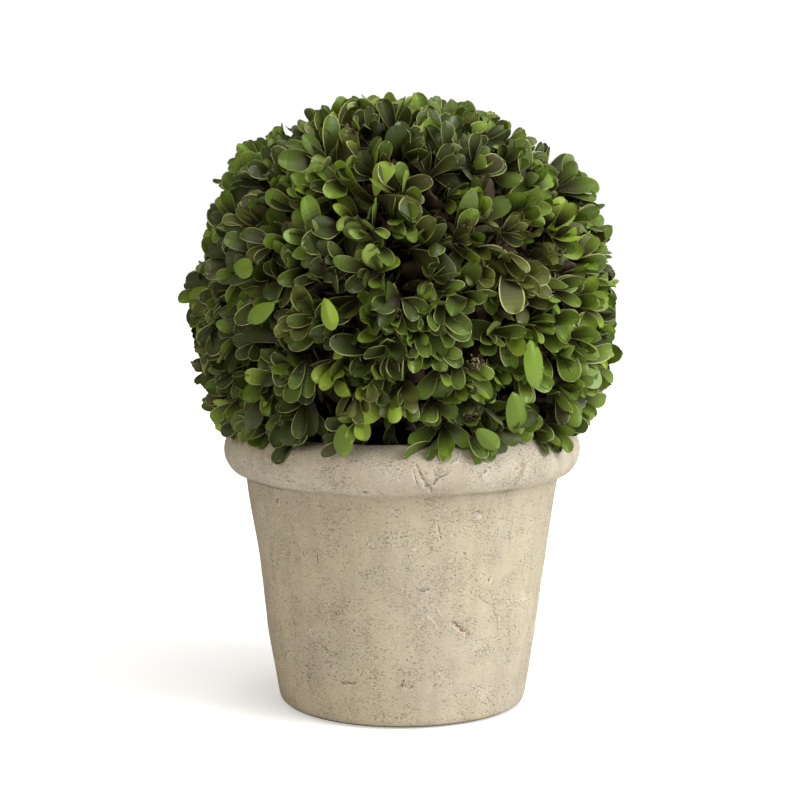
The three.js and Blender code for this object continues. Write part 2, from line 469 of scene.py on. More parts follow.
def scar_depths(bearing, height, radius):
    """How deep the listed scars and a scatter of small pits bite at each point, in metres."""
    rng = np.random.default_rng(SEED + 1)
    scars = list(POT_SCARS)
    for _ in range(STRAY_PITS):
        length = rng.uniform(*STRAY_LENGTH)
        scars.append((
            rng.uniform(-180, 180), rng.uniform(*STRAY_HEIGHT), length,
            length * rng.uniform(0.45, 0.9), rng.uniform(-90, 90), rng.uniform(*STRAY_BITE),
        ))
    depth = np.zeros_like(bearing)
    for place, level, length, width, turn, bite in scars:
        away = (np.degrees(bearing) - place + 180) % 360 - 180
        along = np.radians(away) * radius / MM
        up = height / MM - level
        near = (np.abs(along) < length) & (np.abs(up) < length)
        cos, sin = math.cos(math.radians(turn)), math.sin(math.radians(turn))
        across = (up * cos - along * sin)[near] / (width / 2)
        lengthwise = (along * cos + up * sin)[near] / (length / 2)
        reach = np.sqrt(across**2 + lengthwise**2)
        depth[near] = np.maximum(depth[near], bite * MM * np.clip(1.25 - reach, 0, 1) ** 0.8)
    return depth


def pot_piece(materials):
    profile = pot_profile()
    inner_low = FILL_LOW[2] - FILL_GAP
    floor_radius = profile[-1, 0] - (profile[-1, 1] - inner_low) * INNER_TAPER
    tail = [(floor_radius, inner_low), (floor_radius * 0.5, inner_low), (2 * MM, inner_low)]
    head = [(2 * MM, 0.0), (profile[0, 0] * 0.5, 0.0), (profile[0, 0] - 3 * MM, 0.0)]
    line = np.array([*head, *profile, *tail])
    slope = np.gradient(line, axis=0)
    outward = unit(np.stack([slope[:, 1], -slope[:, 0]], axis=1))
    bearing = np.linspace(-math.pi, math.pi, POT_COLUMNS, endpoint=False)
    bearings, radii = np.meshgrid(bearing, line[:, 0])
    heights = np.repeat(line[:, 1:2], POT_COLUMNS, axis=1)
    sideways = np.stack([np.sin(bearings), -np.cos(bearings)], axis=-1)
    points = np.concatenate([sideways * radii[..., None], heights[..., None]], axis=-1)
    normals = np.concatenate([
        sideways * outward[:, None, 0:1],
        np.repeat(outward[:, None, 1:2], POT_COLUMNS, axis=1),
    ], axis=-1)
    shown = (line[:, 1] > 0.3 * MM) & (np.arange(len(line)) < len(line) - len(tail))
    flat = points[shown].reshape(-1, 3)
    swell = SWELL_DEPTH * lumps(flat, SWELL_SIZE, 2, 1)
    grain = GRAIN_DEPTH * lumps(flat, GRAIN_SIZE, 3, 2)
    bite = scar_depths(bearings[shown].ravel(), flat[:, 2], radii[shown].ravel())
    ease = np.clip(flat[:, 2] / (3 * MM), 0, 1)
    push = (swell * ease + grain * ease - bite).reshape(-1, POT_COLUMNS, 1)
    points[shown] += normals[shown] * push
    points[..., 2] = np.maximum(points[..., 2], 0.0)
    hubs = [(0, 0, 0.0), (0, 0, inner_low)]
    faces = closed_faces(len(line), POT_COLUMNS)
    piece = mesh_piece("stone_pot", np.vstack([points.reshape(-1, 3), hubs]), faces, materials)
    belongs(piece, "pot_stone", "pot")


# ---- Stone ----

# Settings of the masks that make up the stone, with sizes in metres.
STONE_CLOUDS = {
    "clouds": dict(size=0.045, low=0.38, high=0.66),
    "patches": dict(size=0.012, low=0.45, high=0.7, detail=6.0),
    "blush": dict(size=0.026, stretch=0.6, low=0.46, high=0.66),
    "streaks": dict(size=0.006, stretch=0.1, low=0.42, high=0.7),
    "scoring": dict(size=0.004, stretch=6.0, low=0.5, high=0.72),
}
STONE_FLECKS = {
    "dark": dict(size=0.0008, low=0.57, high=0.65),
    # The two shifted copies below are painted highlights on the lit rims of the dark and coarse
    # flecks.
    "pale": dict(size=0.0008, low=0.57, high=0.65, shift=0.0003),
    "coarse": dict(size=0.002, low=0.62, high=0.67, gather=0.02, shift=0.3, stretch=2.6),
    "coarse_highlights": dict(size=0.002, low=0.62, high=0.67, gather=0.02, shift=0.3006, stretch=2.6),
}
STONE_SEAMS = {
    "cracks": dict(size=0.045, width=0.005, share=0.58),
    "ridges": dict(size=0.04, width=0.010, share=0.52, shift=0.5),
}
STONE_PITS = {
    "pits": dict(size=0.0052, share=0.06, breadth=0.2),
    "grit": dict(size=0.0061, share=0.12, breadth=0.24),
}
WARM_STONE = ((211, 199, 170), (204, 194, 174))
COOL_STONE = ((213, 203, 182), (207, 199, 182))
# Colours laid over the bare stone, the lowest first: mask, strength and colour.
# Some are painted light: shade under the bead, shadows at its crease and the foot, highlights.
STONE_COATS = [
    ("blush", 0.45, (196, 178, 160)), ("patches", 0.5, (216, 206, 184)),
    ("streaks", 0.3, (176, 164, 142)), ("scoring", 0.22, (170, 156, 130)),
    ("ridges", 0.5, (226, 218, 202)), ("cracks", 0.4, (140, 124, 100)),
    ("pale", 0.75, (242, 236, 220)), ("dark", 0.6, (124, 106, 76)),
    ("coarse_highlights", 0.5, (236, 230, 214)), ("coarse", 0.52, (120, 104, 80)),
    ("grit", 0.36, (240, 234, 218)), ("pits", 0.6, (112, 98, 78)),
    ("painted_bead_shade", 1.0, (176, 162, 134)), ("crease_shadow", 0.6, (124, 108, 86)),
    ("scratch_highlights", 0.7, (236, 230, 216)), ("scratches", 0.62, (104, 88, 68)),
    ("rust", 0.6, (168, 92, 70)), ("foot", 0.8, (78, 64, 48)),
]
# How far each mask rises or sinks, as a share of the relief's depth.
STONE_RELIEF = [
    ("patches", 0.3), ("dark", -0.4), ("coarse", -0.9), ("pale", 0.5), ("pits", -1.0),
    ("cracks", -0.7), ("scratches", -0.9), ("ridges", 0.5),
]


def flecks_group():
    """Fine irregular flecks that gather in patches: Mask is 1 in a fleck."""
    inputs = {
        "Size": 0.001, "Low": 0.6, "High": 0.68, "Gather": 0.014, "Shift": 0.0, "Stretch": 1.0,
    }
    tree, given, result = new_group("flecks", inputs, ["Mask"])
    place = shifted_place(tree, stretched_place(tree, given["Stretch"]), given["Shift"])
    fine = noise_node(tree, place, divided(tree, 1.0, given["Size"]), Detail=2.0)["Fac"]
    broad = noise_node(tree, place, divided(tree, 1.0, given["Gather"]), Detail=3.0)["Fac"]
    marks = ramped(tree, fine, given["Low"], given["High"])
    crowd = ramped(tree, broad, 0.42, 0.62, 0.24, 1.0)
    tree.links.new(times(tree, marks, crowd), result["Mask"])
    return tree


def seams_group():
    """Thin wandering lines, broken up in patches: Mask is 1 on a line."""
    inputs = {"Size": 0.02, "Width": 0.02, "Share": 0.5, "Shift": 0.0}
    tree, given, result = new_group("seams", inputs, ["Mask"])
    place = shifted_place(tree, object_place(tree), given["Shift"])
    scale = divided(tree, 1.0, given["Size"])
    level = noise_node(tree, place, scale, Detail=4.0, Distortion=0.6)["Fac"]
    away = maths(tree, "ABSOLUTE", minus(tree, level, 0.5))
    line = ramped(tree, away, times(tree, given["Width"], 0.3), given["Width"], 1.0, 0.0)
    broken = noise_node(tree, place, times(tree, scale, 1.7), Detail=2.0)["Fac"]
    shown = ramped(tree, broken, given["Share"], plus(tree, given["Share"], 0.08))
    tree.links.new(times(tree, line, shown), result["Mask"])
    return tree


def gash_group():
    """One ragged scratch on the pot: Mask is 1 in it, and Edge is 1 on the lip beside it, where a
    highlight is painted.
    """
    inputs = {"Bearing": 0.0, "Level": 0.1, "Turn": 0.0, "Length": 0.01, "Width": 0.002}
    tree, given, result = new_group("gash", inputs, ["Mask", "Edge"])
    place = object_place(tree)
    rough = noise_node(tree, place, 420.0, Detail=4.0, Roughness=0.7)["Fac"]
    stray = times(tree, minus(tree, rough, 0.5), GASH_STRAY)
    broken = ramped(tree, noise_node(tree, place, 480.0)["Fac"], 0.38, 0.52, 0.2, 1.0)
    east, north, height = add_node(tree, "ShaderNodeSeparateXYZ", {0: place}).outputs
    square = plus(tree, times(tree, east, east), times(tree, north, north))
    around = maths(tree, "ARCTAN2", east, times(tree, north, -1.0))
    away = times(tree, minus(tree, around, given["Bearing"]), maths(tree, "SQRT", square))
    up = plus(tree, minus(tree, height, given["Level"]), stray)
    cos, sin = maths(tree, "COSINE", given["Turn"]), maths(tree, "SINE", given["Turn"])
    across = minus(tree, times(tree, up, cos), times(tree, away, sin))
    along = plus(tree, times(tree, away, cos), times(tree, up, sin))
    lengthwise = divided(tree, along, times(tree, given["Length"], 0.5))
    masks = []
    for offset in (0.0, 0.75):
        moved = plus(tree, times(tree, given["Width"], offset), across)
        wide = divided(tree, moved, times(tree, given["Width"], 0.5))
        reach = plus(tree, times(tree, wide, wide), times(tree, lengthwise, lengthwise))
        masks.append(times(tree, ramped(tree, reach, 0.3, 1.2, 1.0, 0.0), broken))
    tree.links.new(masks[0], result["Mask"])
    tree.links.new(times(tree, masks[1], minus(tree, 1.0, masks[0])), result["Edge"])
    return tree


def place_mark(tree, gash, bearing, level, turn, length, width):
    """The masks of one scratch, given in the units of the list of marks."""
    return place_group(
        tree, gash, bearing=math.radians(bearing), level=level * MM, turn=math.radians(turn),
        length=length * MM, width=width * MM,
    )


def stone_material(mottle, pitting):
    """Weathered cast stone: cloudy beige and grey, with flecks, pale grit, seams and scoring, and
    painted shade and highlights.
    """
    material = plain_material("weathered_stone", srgb(205, 193, 168), 0.9, 0.25)
    tree = material.node_tree
    masks = masks_from(tree, mottle, STONE_CLOUDS)
    masks |= masks_from(tree, flecks_group(), STONE_FLECKS)
    masks |= masks_from(tree, seams_group(), STONE_SEAMS)
    masks |= masks_from(tree, pitting, STONE_PITS)
    clouds = masks["clouds"]
    level = add_node(tree, "ShaderNodeSeparateXYZ", {0: object_place(tree)}).outputs["Z"]
    # Painted shadow: a thin dark line in the crease where the bead meets the wall.
    neck = maths(tree, "ABSOLUTE", minus(tree, level, BEAD_FOOT))
    masks["crease_shadow"] = times(tree, ramped(tree, neck, 0.3 * MM, 1.6 * MM, 1.0, 0.0), clouds)
    # Painted shadow: the pot's lowest edge darkens where it meets the floor.
    masks["foot"] = ramped(tree, level, 0.8 * MM, 2.2 * MM, 1.0, 0.0)
    # Painted shade on the wall just under the bead, which shadows it.
    below_bead = ramped(tree, level, BEAD_FOOT - MM, BEAD_FOOT + 2 * MM, 0.34, 0.0)
    masks["painted_bead_shade"] = times(tree, ramped(tree, level, 0.09, 0.112), below_bead)
    gash = gash_group()
    masks["rust"] = place_mark(tree, gash, *RUST_MARK)["Mask"]
    masks["scratches"], masks["scratch_highlights"] = masks["rust"], 0.0
    # A pale lip on one side of each scratch: painted highlight.
    for mark in POT_MARKS:
        parts = place_mark(tree, gash, *mark)
        masks["scratches"] = maths(tree, "MAXIMUM", masks["scratches"], parts["Mask"])
        masks["scratch_highlights"] = maths(tree, "MAXIMUM", masks["scratch_highlights"], parts["Edge"])

    shades = [[srgb(*shade) for shade in pair] for pair in (WARM_STONE, COOL_STONE)]
    warm, cool = (mixed(tree, clouds, *pair) for pair in shades)
    colour = mixed(tree, ramped(tree, level, 0.085, 0.125), warm, cool)
    for name, strength, shade in STONE_COATS:
        colour = mixed(tree, times(tree, masks[name], strength), colour, srgb(*shade))
    height = 0.0
    for name, depth in STONE_RELIEF:
        height = plus(tree, height, times(tree, masks[name], depth))
    set_surface(tree, colour, height, 0.4 * MM)
    roughness = tree.nodes["Principled BSDF"].inputs["Roughness"]
    tree.links.new(ramped(tree, clouds, 0.0, 1.0, 0.84, 0.96), roughness)
    return material


# ---- Fill in the pot's mouth ----

FILL_COLUMNS, FILL_RINGS = 96, 22
FILL_RELIEF, FILL_TUFT, FILL_SINK = 1.1 * MM, 5 * MM, 0.8 * MM
SKIRT_TAPER = 0.84


def fill_piece(materials):
    """A dark mossy heap from the pot's inner wall to the foot of the stem."""
    tree = surface_tree("potting_fill")
    edge = FILL_HIGH[0] - 1.5 * MM
    bearing = np.linspace(0, 2 * math.pi, FILL_COLUMNS, endpoint=False)
    points = []
    for radius in edge * np.linspace(1, 0.02, FILL_RINGS):
        hit = tree.ray_cast(Vector((radius, 0, 0.2)), Vector((0, 0, -1)))[0]
        points += [(radius * math.cos(angle), radius * math.sin(angle), hit.z) for angle in bearing]
    points = np.array(points)
    points[:, 2] += FILL_RELIEF * lumps(points, FILL_TUFT, 3, 5) - FILL_SINK
    skirt = points[:FILL_COLUMNS] * (SKIRT_TAPER, SKIRT_TAPER, 0) + (0, 0, FILL_LOW[2] + MM)
    hubs = [(0, 0, FILL_LOW[2] + MM), (0, 0, FILL_HIGH[2] - MM)]
    points = np.concatenate([skirt, points, hubs])
    faces = closed_faces(FILL_RINGS + 1, FILL_COLUMNS)
    belongs(mesh_piece("mossy_fill", points, faces, materials), "potting_fill", "potting_fill")


def moss_material(mottle):
    material = plain_material("dry_moss", srgb(48, 38, 28), 0.95, 0.2)
    tree = material.node_tree
    tufts = place_group(tree, mottle, size=0.003, low=0.35, high=0.65, detail=6.0)["Mask"]
    patches = place_group(tree, mottle, size=0.014, low=0.4, high=0.6)["Mask"]
    colour = mixed(tree, patches, srgb(40, 30, 22), srgb(58, 52, 30))
    colour = mixed(tree, tufts, colour, srgb(84, 72, 48))
    set_surface(tree, colour, tufts, 1.2 * MM)
    return material


# ---- Stem, boughs and twigs ----

BOUGH_COUNT = 13
BOUGH_TIPS = 12
TWIG_RADIUS = 0.5 * MM
PIPE_POWER = 0.43
TAPER = 0.25
FURROW_DEPTH, FURROW_SIZE = 0.32 * MM, 2.6 * MM
KNOT_DEPTH, KNOT_SIZE = 0.4 * MM, 9 * MM
TWIG_TINTS = [(70, 48, 38), (88, 66, 48), (84, 80, 48)]
# Sides round, and rings along, each tube of wood.
TWIG_GRID, BOUGH_GRID, STEM_GRID = (5, 6), (16, 26), (36, 40)


def limb_radius(tips):
    """A limb's thickness from how many sprigs it feeds."""
    return TWIG_RADIUS * tips**PIPE_POWER


def gather(tips, ways, rng):
    """Sorts tips into `ways` clumps of neighbours."""
    centres = tips[rng.choice(len(tips), ways, replace=False)]
    for _ in range(8):
        nearest = np.linalg.norm(tips[:, None] - centres[None], axis=2).argmin(axis=1)
        centres = np.array([
            tips[nearest == way].mean(axis=0) if (nearest == way).any() else centres[way]
            for way in range(ways)
        ])
    return [np.flatnonzero(nearest == way) for way in range(ways) if (nearest == way).any()]


def fork(start, heading, tips, limbs, rng):
    """Grows limbs from `start` towards all `tips`, forking until each limb carries one.

    A limb is its start, its first heading, its end and how many tips it feeds.
    """
    if len(tips) == 1:
        limbs.append((start, heading, tips[0], 1))
        return
    ways = 2 if len(tips) <= 6 else int(rng.integers(3, 5))
    for members in gather(tips, min(ways, len(tips)), rng):
        group = tips[members]
        if len(group) == 1:
            limbs.append((start, heading, group[0], 1))
            continue
        middle = group.mean(axis=0)
        share = 0.42 if len(group) > BOUGH_TIPS else 0.5
        end = start + (middle - start) * share * rng.uniform(0.85, 1.15)
        end = end + rng.normal(0, 1.3 * MM, 3)
        limbs.append((start, heading, end, len(group)))
        fork(end, unit(end - start), group, limbs, rng)


def stem_axis(height):
    """Middle of the stem at a height, read from the CAD stem."""
    ring = [v.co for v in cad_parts["stem"].data.vertices if abs(v.co.z - height) < 4 * MM]
    return np.array(sum(ring, Vector()) / len(ring))


def grow_boughs(tips, rng):
    """Boughs leave the stem one above another, each towards its own clump of sprigs."""
    limbs = []
    for members in gather(tips, BOUGH_COUNT, rng):
        group = tips[members]
        middle = group.mean(axis=0)
        rise = np.clip((middle[2] - STEM_LOW[2]) / (CROWN_HIGH[2] - STEM_LOW[2]), 0, 1)
        height = STEM_LOW[2] + (STEM_HIGH[2] - STEM_LOW[2]) * (0.35 + 0.62 * rise)
        start = stem_axis(height)
        start[2] = height
        heading = unit(unit(middle - start) + np.array([0, 0, 0.7]))
        end = start + (middle - start) * 0.46
        limbs.append((start, heading, end, len(group)))
        fork(end, unit(end - start), group, limbs, rng)
    return limbs


def tube_points(limbs, sides, rings):
    """Rings of points along each limb's curve, and the outward direction at every point."""
    start, heading, end = (
        np.array([limb[part] for limb in limbs])[:, None] for part in range(3)
    )
    thick = np.array([limb_radius(limb[3]) for limb in limbs])[:, None, None]
    length = np.linalg.norm(end - start, axis=-1, keepdims=True)
    bend = start + heading * length * 0.45
    t = np.linspace(0, 1, rings)[None, :, None]
    middle = (1 - t) ** 2 * start + 2 * t * (1 - t) * bend + t**2 * end
    tangent = unit(2 * (1 - t) * (bend - start) + 2 * t * (end - bend) + 1e-9)
    side = unit(np.cross(tangent, np.array([0.31, 0.52, 0.79])))
    other = np.cross(tangent, side)
    angle = np.linspace(0, 2 * math.pi, sides, endpoint=False)[None, None, :, None]
    outward = side[:, :, None] * np.cos(angle) + other[:, :, None] * np.sin(angle)
    radius = thick * (1 - TAPER * t)
    return middle[:, :, None] + outward * radius[:, :, None], outward


def tube_faces(count, sides, rings):
    """Faces of `count` tubes laid end to end in one list of points, each closed at both ends."""
    quads = ring_faces(rings, sides)
    low = np.arange(sides)[::-1][None]
    high = (rings - 1) * sides + np.arange(sides)[None]
    step = np.arange(count)[:, None, None] * (sides * rings)
    ends = np.concatenate([low, high])
    return [(quads[None] + step).reshape(-1, 4), (ends[None] + step).reshape(-1, sides)]


def twig_piece(limbs, materials, rng):
    points, _ = tube_points(limbs, *TWIG_GRID)
    faces = tube_faces(len(limbs), *TWIG_GRID)
    tint = rng.integers(0, len(materials), len(limbs))
    slots = np.concatenate([np.repeat(tint, len(part) // len(limbs)) for part in faces])
    belongs(mesh_piece("twigs", points.reshape(-1, 3), faces, materials, slots), "bark")


def stem_skin(sides, rings):
    """Points on the CAD stem's skin in level rings, and the outward direction at each."""
    tree = surface_tree("stem")
    angles = np.linspace(0, 2 * math.pi, sides, endpoint=False)
    ways = [Vector((math.cos(angle), math.sin(angle), 0)) for angle in angles]
    skin = []
    for height in np.linspace(STEM_LOW[2], STEM_HIGH[2] - 0.2 * MM, rings):
        middle = Vector((*stem_axis(height)[:2], height))
        for way in ways:
            skin.append(tree.ray_cast(middle + way * 0.05, -way)[0] or middle)
    return np.array(skin), np.tile(np.array(ways), (rings, 1))


def wood_piece(limbs, materials):
    """The stem and the boughs as one mesh with the ridges and furrows of bark."""
    boughs, outward = (part.reshape(-1, 3) for part in tube_points(limbs, *BOUGH_GRID))
    skin, flare = stem_skin(*STEM_GRID)
    points = np.concatenate([boughs, skin])
    furrow = lumps(points * np.array([1, 1, 0.3]), FURROW_SIZE, 3, 9)
    knots = lumps(points, KNOT_SIZE, 2, 10)
    relief = FURROW_DEPTH * furrow + KNOT_DEPTH * knots
    points += np.concatenate([outward, flare]) * relief[:, None]
    faces = tube_faces(len(limbs), *BOUGH_GRID)
    faces += [part + len(boughs) for part in tube_faces(1, *STEM_GRID)]
    belongs(mesh_piece("stem_and_boughs", points, faces, materials), "bark", "stem")


def bark_material(mottle, pitting):
    material = plain_material("box_bark", srgb(104, 84, 62), 0.88, 0.3)
    tree = material.node_tree
    plates = place_group(tree, mottle, size=0.004, stretch=0.3, low=0.4, high=0.6)["Mask"]
    clouds = place_group(tree, mottle, size=0.015, low=0.35, high=0.65)["Mask"]
    pores = place_group(tree, pitting, size=0.002, share=0.4, breadth=0.35)["Mask"]
    colour = mixed(tree, clouds, srgb(92, 72, 54), srgb(124, 106, 82))
    colour = mixed(tree, plates, srgb(60, 44, 34), colour)
    colour = mixed(tree, times(tree, pores, 0.6), colour, srgb(46, 34, 26))
    set_surface(tree, colour, plates, 0.5 * MM)
    return material


# ---- Leaves ----

SPRIG_COUNT = 980
OLD_LEAF_COUNT = 4200
LEAF_LENGTH = 18.3 * MM
LEAF_SHAPE = 0.455
LEAF_THICKNESS = 0.35 * MM
MARGIN_LINE = 0.89
# How far a leaf that meets the pot's rim is held off it, at its face and at its underside.
FACE_REST, BACK_REST = 0.8 * MM, 0.4 * MM
# How leaves differ, each as the middle and the spread of a measure.
LEAF_CUP = (0.06, 0.34)
LEAF_FOLD = (0.08, 0.12)
LEAF_CURL = (0.38, 0.48)
LEAF_TWIST = (0.0, 0.22)
LEAF_NOTCH = (0.01, 0.025)
LEAF_RIPPLE = (0.0, 0.1)
LEAF_VIGOUR = (1.0, 0.16)
# Least and most of how far out a leaf is widest: 1 for the usual outline.
LEAF_FULLNESS = (0.82, 1.22)
RIPPLE_RATE = 7
CUP_SHRINK = 0.18
UNDERSIDE_BULGE = 0.6
# What a leaf is where nothing else is said of it.
PLAIN_LEAF = {
    "fullness": 1.0, "cup": 0.0, "fold": 0.0, "curl": 0.0, "notch": 0.0, "ripple": 0.0,
    "phase": 0.0, "twist": 0.0, "left": 0, "right": 0, "margin": 0, "rooted": 0, "ribbed": 0,
}
DOWN = np.array([0, 0, -1.0])
DROOP = 0.12
# The side that the sprigs sweep towards and that the leaves face.
LIT_SIDE = np.array([0.05, -0.92, 0.39])
SPRIG_SWEEP = 0.65
# How strongly leaves turn to the lit side, and how far round the ball that reaches.
LIGHT_PULL, LIGHT_WRAP = 0.9, 0.6
# How far directions stray: of a sprig, of the side it faces and of a leaf's face.
SPRIG_STRAY, FACING_STRAY, FACE_STRAY = 0.26, 0.15, 0.42
# How far angles stray, in radians: of a pair round the stalk, of a leaf in it, of its opening.
PAIR_STRAY, LEAF_STRAY, OPENING_STRAY = 0.25, 0.12, 0.22
# How wide the youngest pair opens, and how much wider the oldest, in degrees.
OPENING, MORE_OPENING = 14, 30
PAIR_FLATNESS = 0.55
FACE_TILT = 0.35
# Middle and spread of how deep a sprig is rooted, in mm.
SPRIG_DEPTH = (20.0, 2.2)
SPRIG_SCATTER = 0.055
LOWEST_SPRIG = RIM_TOP - 8 * MM
LEAST_REACH = 80 * MM
# Least and most length of stalk between pairs of leaves, and reach of a leaf's tip beyond the
# clipped surface, in mm.
PAIR_STEP = (2.2, 3.6)
TIP_SPREAD = (-4.5, 2.2)
# Shares of the sprigs that stand proud, of leaves that fell, and of leaves of a tint of their own.
PROUD_SPRIGS, LOST_LEAVES, STRAY_TINTS = 0.14, 0.06, 0.22
# The most that a proud sprig's tips stand further out, in mm.
PROUD_LIFT = 3.8
VIGOUR_SIZE = 45 * MM
# Hollows in the ball: their size, how deep they dip, and the noise above which no sprig grows.
HOLLOW_SIZE, HOLLOW_DEPTH, BARE_HOLLOW = 22 * MM, 9 * MM, 0.36
# Size of the patches in which one tint gathers, and how strongly it does.
DRIFT_SIZE, DRIFT_STRENGTH = 24 * MM, 3.2
# Old leaves keep this far under the clipped surface.
OLD_LEAF_COVER = 14 * MM

# Leaf tints: share of the sprigs, two blade colours and an underside colour.
TINTS = {
    "deep": (0.24, (66, 80, 30), (58, 67, 28), (85, 94, 50)),
    "mid": (0.27, (91, 113, 39), (82, 99, 35), (106, 120, 58)),
    "fresh": (0.245, (116, 144, 45), (104, 129, 39), (129, 145, 68)),
    "lime": (0.07, (145, 170, 55), (133, 158, 49), (156, 176, 82)),
    "olive": (0.11, (95, 102, 37), (86, 93, 35), (106, 112, 57)),
    "dull": (0.04, (83, 93, 53), (73, 81, 45), (96, 102, 64)),
    "brown": (0.025, (75, 75, 35), (67, 66, 31), (89, 85, 48)),
}
TINT_NAMES = list(TINTS)
TINT_SHARES = np.array([row[0] for row in TINTS.values()])
# Leaves darken to this near the stalk: painted shade from the leaves above, and partly their own
# browner base.
ROOT_SHADE_TINT = (45, 41, 22)
# How much of the blade's own colour is left in each band from the stalk outwards.
ROOT_SHADE_BANDS = (0.0, 0.1, 0.24, 0.39, 0.55, 0.71, 0.86)
MARGINS = [(156, 162, 94), (174, 178, 112), (132, 142, 76)]
OLD_TINTS = [(84, 68, 52), (80, 68, 47), (74, 59, 47), (77, 73, 46)]
DRY_TINTS = [(100, 92, 62), (78, 68, 46), (140, 134, 98), (84, 66, 48)]
# Young bright leaves that lie over the others: bearing from the front and rise above the heart in
# degrees, turn from upright in degrees, length in mm, and tint.
YOUNG_LEAVES = [
    (34.8, -5, 168, 24, "fresh"), (30.0, -18, 160, 23, "fresh"), (-19.7, 6, 159, 16, "lime"),
    (-15.4, -25, -171, 18, "fresh"), (20.5, -27, 131, 17, "fresh"), (-34.1, 4, -120, 17, "fresh"),
    (-50.7, 13, 95, 19, "fresh"), (150, 20, 150, 20, "lime"), (-120, -10, 190, 18, "fresh"),
    (95, 5, 170, 20, "fresh"),
]
# Dried flower heads at the tips of sprigs: bearing and rise in degrees.
DRIED_HEADS = [(-20.8, 14.5), (-1.4, 1.7), (-22.5, 55.4), (19.0, 25.1), (19.5, -10.4)]
SCATTERED_HEADS = 9
SCALES_PER_HEAD = 34
# Where the outline of the leaves stands proud of the clipped ball or was cut back: bearing and
# rise in degrees, amount in mm and spread in degrees.
SHAGGY_PLACES = [
    (-90, 39, 4.5, 12), (90, 36, 4.5, 11), (90, -23, -7.0, 8), (75, -36, -3.0, 12),
    (-90, -17, 4.0, 9), (-90, 8, 3.5, 10), (90, -11, 4.0, 7),
]
# Where some tints gather: bearing, rise and spread in degrees, how strongly, and which tints.
# Partly painted light: fresh and lime on the lit right and top, deep on the front and left.
LIGHT_AND_TINT_PLACES = [
    (42, -23, 16, 2.1, ("fresh", "lime")), (48, 34, 14, 2.0, ("fresh", "lime")),
    (-40, -18, 15, 0.4, ("fresh", "lime")), (0, 66, 18, 0.9, ("fresh", "lime")),
    (34, 26, 10, 1.7, ("olive",)), (46, 13, 9, 1.3, ("olive",)), (6, 20, 10, 0.5, ("deep",)),
    (-3, 4, 11, 0.3, ("deep",)), (27, 42, 7, 1.6, ("deep",)), (-18, -8, 26, 0.38, ("deep",)),
    (-34, 30, 16, 0.3, ("deep",)), (-58, 0, 18, 0.3, ("deep",)), (62, -4, 18, 0.7, ("fresh",)),
]


def tint_materials(name, shades, roughness, specular):
    return [
        plain_material(f"{name}_{index}", srgb(*shade), roughness, specular)
        for index, shade in enumerate(shades)
    ]


def leaf_materials():
    """Blades, undersides, root bands darkened by painted shade, and margins, in that order."""
    blades, backs, roots = [], [], []
    for name, (_, *shades, back) in TINTS.items():
        for index, shade in enumerate(shades):
            gloss = 0.31 + 0.1 * index
            blades.append(plain_material(f"leaf_{name}_{index}", srgb(*shade), gloss, 0.36))
        backs.append(plain_material(f"leaf_{name}_back", srgb(*back), 0.6, 0.25))
        bands = [
            own * np.array(shades[0]) + (1 - own) * np.array(ROOT_SHADE_TINT) for own in ROOT_SHADE_BANDS
        ]
        roots += tint_materials(f"leaf_{name}_root", bands, 0.5, 0.25)
    return blades + backs + roots + tint_materials("leaf_margin", MARGINS, 0.5, 0.4)


def leaf_outline(along, fullness):
    """Half width of a spoon-shaped leaf, 0 to 1, from its stalk at 0 to its tip at 1."""
    moved = along**fullness
    return moved**0.8 * (1 - moved**2.8) ** 0.55 / 0.585


class LeafShape:
    """How one kind of leaf is divided into faces: rings along it and columns across it."""

    def __init__(self, rings, columns, kinds, root_bands=0):
        self.rings = np.array(rings)
        self.columns = np.array(columns)
        self.back = np.array((-MARGIN_LINE, 0, MARGIN_LINE) if root_bands else (0,))
        wide = len(columns)
        self.stride = wide + len(self.back)
        self.count = self.stride * len(rings) + 2
        base, tip = self.count - 2, self.count - 1
        quads, tris, quad_kinds, tri_kinds = [], [], [], []
        top = list(range(wide))
        bottom = [wide + 2, wide + 1, wide] if root_bands else [wide - 1, wide, 0]
        last = (len(rings) - 1) * self.stride
        for row, row_kinds in ((top, kinds), (bottom, ["back"] * 2)):
            for (left, right), kind in zip(zip(row, row[1:]), row_kinds):
                rooted = root_bands and kind not in ("back", "margin")
                tris.append((base, right, left))
                tri_kinds.append("root0" if rooted else kind)
                for ring in range(len(rings) - 1):
                    low, high = ring * self.stride, (ring + 1) * self.stride
                    quads.append((low + left, low + right, high + right, high + left))
                    quad_kinds.append(f"root{ring}" if rooted and ring < root_bands else kind)
                tris.append((last + left, last + right, tip))
                tri_kinds.append(kind if kind == "back" or not root_bands else "margin")
        self.quads, self.tris = np.array(quads), np.array(tris)
        self.quad_kinds, self.tri_kinds = quad_kinds, tri_kinds


FULL_LEAF = LeafShape(
    (0.12, 0.23, 0.34, 0.44, 0.53, 0.62, 0.71, 0.82, 0.92, 0.98),
    (-1, -MARGIN_LINE, -0.47, -0.06, 0.05, 0.47, MARGIN_LINE, 1),
    ("margin", "left", "left", "rib", "right", "right", "margin"),
    root_bands=len(ROOT_SHADE_BANDS),
)
OLD_LEAF = LeafShape((0.16, 0.45, 0.74, 0.93), (-1, 0, 1), ("left", "right"))
DRIED_SCALE = LeafShape((0.25, 0.6, 0.88), (-1, 0, 1), ("left", "right"))


